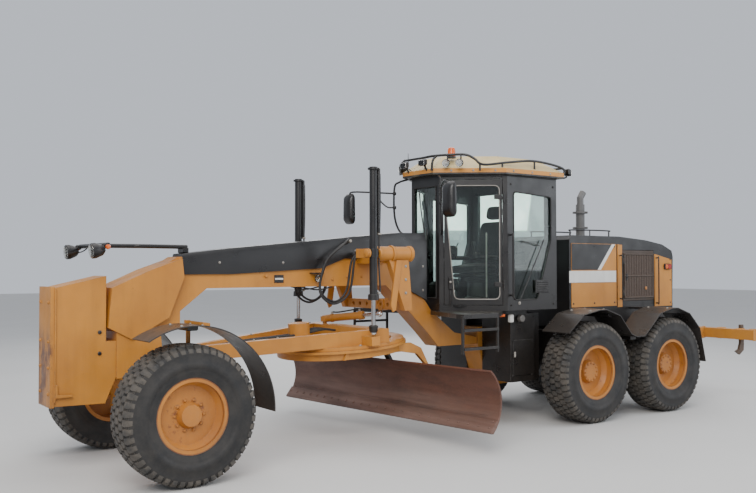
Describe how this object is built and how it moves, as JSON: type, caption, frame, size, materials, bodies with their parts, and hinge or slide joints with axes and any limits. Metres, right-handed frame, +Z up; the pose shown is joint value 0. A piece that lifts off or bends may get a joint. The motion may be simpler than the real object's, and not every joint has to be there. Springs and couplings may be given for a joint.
{
  "type": "motor grader",
  "caption": "Ochre articulated motor grader with leaning front wheels, tandem rear wheels, a turning circle and curved blade under its frame, a glazed cab, front push block and rear ripper.",
  "frame": {"origin": "on the ground under the middle of the machine's length and width", "axes": "+X forward, +Y to the machine's left, +Z up"},
  "size_m": [10.14, 3.6637, 3.3078],
  "materials": {
    "yellow_paint": "semi-gloss, dusty",
    "black_paint": "satin, dusty",
    "orange_paint": "semi-gloss, rusty",
    "cream_paint": "semi-gloss",
    "grey_paint": "satin",
    "brown_paint": "matt",
    "worn_steel": "rusty, scoured along the edge",
    "rod_chrome": "polished",
    "tyre": "dusty",
    "glass": "clear, slightly green",
    "interior": "matt",
    "fender": "semi-gloss, dusty"
  },
  "bodies": {
    "front_frame": {"main_frame": "yellow_paint", "nose_cover": "yellow_paint", "push_block": "yellow_paint", "front_axle": "yellow_paint", "hose_cover": "black_paint", "light_bar": "black_paint", "lift_arms": "black_paint", "cab_frame": "black_paint", "cab_glass": "glass", "cab_roof": "cream_paint", "cab_interior": "interior", "roof_rail": "grey_paint", "mirrors": "black_paint", "cab_steps": "black_paint"},
    "rear_frame": {"rear_frame": "black_paint", "tandem_cases": "black_paint", "rear_fenders": "fender", "hood": "black_paint", "engine": "interior", "exhaust": "grey_paint"},
    "lean_left": {"lean_head_left": "yellow_paint"},
    "knuckle_left": {"knuckle_left": "yellow_paint", "front_fender_left": "fender"},
    "wheel_front_left": {"rim_front_left": "orange_paint", "tyre_front_left": "tyre"},
    "wheel_mid_left": {"rim_mid_left": "orange_paint", "tyre_mid_left": "tyre"},
    "wheel_rear_left": {"rim_rear_left": "orange_paint", "tyre_rear_left": "tyre"},
    "lift_barrel_left": {"lift_barrel_left": "black_paint"},
    "lift_rod_left": {"lift_rod_left": "rod_chrome"},
    "cab_door_left": {"cab_door_left": "black_paint", "door_glass_left": "glass"},
    "grille_door_left": {"grille_door_left": "brown_paint"},
    "lean_right": {"lean_head_right": "yellow_paint"},
    "knuckle_right": {"knuckle_right": "yellow_paint", "front_fender_right": "fender"},
    "wheel_front_right": {"rim_front_right": "orange_paint", "tyre_front_right": "tyre"},
    "wheel_mid_right": {"rim_mid_right": "orange_paint", "tyre_mid_right": "tyre"},
    "wheel_rear_right": {"rim_rear_right": "orange_paint", "tyre_rear_right": "tyre"},
    "lift_barrel_right": {"lift_barrel_right": "black_paint"},
    "lift_rod_right": {"lift_rod_right": "rod_chrome"},
    "cab_door_right": {"cab_door_right": "black_paint", "door_glass_right": "glass"},
    "grille_door_right": {"grille_door_right": "brown_paint"},
    "lean_rod": {"lean_rod": "yellow_paint"},
    "drawbar_ball": {"drawbar_ball": "worn_steel"},
    "drawbar": {"drawbar": "yellow_paint"},
    "circle": {"circle": "yellow_paint", "tip_barrel": "black_paint"},
    "blade_carrier": {"blade_carrier": "yellow_paint"},
    "moldboard": {"moldboard": "worn_steel"},
    "shift_barrel": {"shift_barrel": "black_paint"},
    "shift_rod": {"shift_rod": "rod_chrome"},
    "tip_rod": {"tip_rod": "rod_chrome"},
    "ripper": {"ripper": "yellow_paint"}
  },
  "joints": [
    {"name": "articulation", "type": "hinge", "parent": "front_frame", "child": "rear_frame", "pos_m": [-0.81, 0, 0.8], "axis": [0, 0, -1], "range_deg": [-20, 20]},
    {"name": "lean_left", "type": "hinge", "parent": "front_frame", "child": "lean_left", "pos_m": [4.12, 0.645, 0.5], "axis": [-1, 0, 0], "range_deg": [-18, 18]},
    {"name": "lean_right", "type": "hinge", "parent": "front_frame", "child": "lean_right", "pos_m": [4.12, -0.645, 0.5], "axis": [-1, 0, 0], "range_deg": [-18, 18]},
    {"name": "lean_rod", "type": "hinge", "parent": "lean_left", "child": "lean_rod", "pos_m": [4.12, 0.645, 0.79], "axis": [-1, 0, 0], "range_deg": [-18, 18]},
    {"name": "steer_left", "type": "hinge", "parent": "lean_left", "child": "knuckle_left", "pos_m": [4.12, 0.79, 0.63], "axis": [0, 0, 1], "range_deg": [-47.5, 47.5]},
    {"name": "steer_right", "type": "hinge", "parent": "lean_right", "child": "knuckle_right", "pos_m": [4.12, -0.79, 0.63], "axis": [0, 0, 1], "range_deg": [-47.5, 47.5]},
    {"name": "wheel_front_left", "type": "hinge", "parent": "knuckle_left", "child": "wheel_front_left", "pos_m": [4.12, 1.033, 0.63], "axis": [0, 1, 0], "continuous": true},
    {"name": "wheel_mid_left", "type": "hinge", "parent": "rear_frame", "child": "wheel_mid_left", "pos_m": [-1.2415, 1.033, 0.63], "axis": [0, 1, 0], "continuous": true},
    {"name": "wheel_rear_left", "type": "hinge", "parent": "rear_frame", "child": "wheel_rear_left", "pos_m": [-2.7645, 1.033, 0.63], "axis": [0, 1, 0], "continuous": true},
    {"name": "wheel_front_right", "type": "hinge", "parent": "knuckle_right", "child": "wheel_front_right", "pos_m": [4.12, -1.033, 0.63], "axis": [0, 1, 0], "continuous": true},
    {"name": "wheel_mid_right", "type": "hinge", "parent": "rear_frame", "child": "wheel_mid_right", "pos_m": [-1.2415, -1.033, 0.63], "axis": [0, 1, 0], "continuous": true},
    {"name": "wheel_rear_right", "type": "hinge", "parent": "rear_frame", "child": "wheel_rear_right", "pos_m": [-2.7645, -1.033, 0.63], "axis": [0, 1, 0], "continuous": true},
    {"name": "drawbar_yaw", "type": "hinge", "parent": "front_frame", "child": "drawbar_ball", "pos_m": [3.92, 0, 1.035], "axis": [0, 0, 1], "range_deg": [-19.1, 20.1]},
    {"name": "drawbar_pitch", "type": "hinge", "parent": "drawbar_ball", "child": "drawbar", "pos_m": [3.92, 0, 1.035], "axis": [0, 1, 0], "range_deg": [-20.5, 4.95]},
    {"name": "circle_turn", "type": "hinge", "parent": "drawbar", "child": "circle", "pos_m": [1.79213, 0, 1.07072], "axis": [0.0698, 0, 0.9976], "continuous": true},
    {"name": "blade_tip", "type": "hinge", "parent": "circle", "child": "blade_carrier", "pos_m": [0.97383, -0.06755, 0.43626], "axis": [-0.0869, 0.9962, 0.0061], "range_deg": [-5, 40]},
    {"name": "side_shift", "type": "slide", "parent": "blade_carrier", "child": "moldboard", "axis": [0.0869, -0.9962, -0.0061], "range_m": [-0.575, 0.847]},
    {"name": "lift_swing_left", "type": "hinge", "parent": "front_frame", "child": "lift_barrel_left", "pos_m": [1.874, 0.79, 2.09], "axis": [-1, 0, 0], "range_deg": [-44.03, 46.33]},
    {"name": "lift_stroke_left", "type": "slide", "parent": "lift_barrel_left", "child": "lift_rod_left", "axis": [0, 0, -1], "range_m": [-0.179, 0.7381]},
    {"name": "lift_swing_right", "type": "hinge", "parent": "front_frame", "child": "lift_barrel_right", "pos_m": [1.874, -0.79, 2.09], "axis": [-1, 0, 0], "range_deg": [-44.03, 46.33]},
    {"name": "lift_stroke_right", "type": "slide", "parent": "lift_barrel_right", "child": "lift_rod_right", "axis": [0, 0, -1], "range_m": [-0.179, 0.7381]},
    {"name": "shift_swing", "type": "hinge", "parent": "drawbar", "child": "shift_barrel", "pos_m": [1.70984, -0.45, 1.32488], "axis": [0.0698, 0, 0.9976], "range_deg": [-24.62, 23.4]},
    {"name": "shift_stroke", "type": "slide", "parent": "shift_barrel", "child": "shift_rod", "axis": [-0.4943, 0.8633, 0.1019], "range_m": [-0.1677, 0.1764]},
    {"name": "tip_stroke", "type": "slide", "parent": "circle", "child": "tip_rod", "axis": [-0.515, -0.0397, -0.8563], "range_m": [-0.101, 0.0135]},
    {"name": "cab_door_left", "type": "hinge", "parent": "front_frame", "child": "cab_door_left", "pos_m": [-0.07169, 0.77651, 1.48], "axis": [0, 0, 1], "range_deg": [0, 115]},
    {"name": "grille_door_left", "type": "hinge", "parent": "rear_frame", "child": "grille_door_left", "pos_m": [-2.606, 0.545, 1.46], "axis": [0, 0, -1], "range_deg": [0, 110]},
    {"name": "cab_door_right", "type": "hinge", "parent": "front_frame", "child": "cab_door_right", "pos_m": [-0.07169, -0.77651, 1.48], "axis": [0, 0, -1], "range_deg": [0, 115]},
    {"name": "grille_door_right", "type": "hinge", "parent": "rear_frame", "child": "grille_door_right", "pos_m": [-2.606, -0.545, 1.46], "axis": [0, 0, 1], "range_deg": [0, 110]},
    {"name": "ripper", "type": "hinge", "parent": "rear_frame", "child": "ripper", "pos_m": [-4.35, 0, 0.86], "axis": [0, 1, 0], "range_deg": [-45, 0]}
  ],
  "couplings": [
    {"joint": "lean_right", "follows": "lean_left", "ratio": 1},
    {"joint": "lean_rod", "follows": "lean_left", "ratio": -1},
    {"joint": "steer_right", "follows": "steer_left", "ratio": 1},
    {"joint": "lift_swing_left", "follows": "drawbar_yaw", "ratio": 2.3},
    {"joint": "lift_stroke_left", "follows": "drawbar_pitch", "m_per_rad": -2.06},
    {"joint": "lift_swing_right", "follows": "drawbar_yaw", "ratio": 2.3},
    {"joint": "lift_stroke_right", "follows": "drawbar_pitch", "m_per_rad": -2.06},
    {"joint": "shift_swing", "follows": "drawbar_yaw", "ratio": -1.22},
    {"joint": "shift_stroke", "follows": "drawbar_yaw", "m_per_rad": 0.5},
    {"joint": "tip_stroke", "follows": "blade_tip", "m_per_rad": -0.14324}
  ]
}
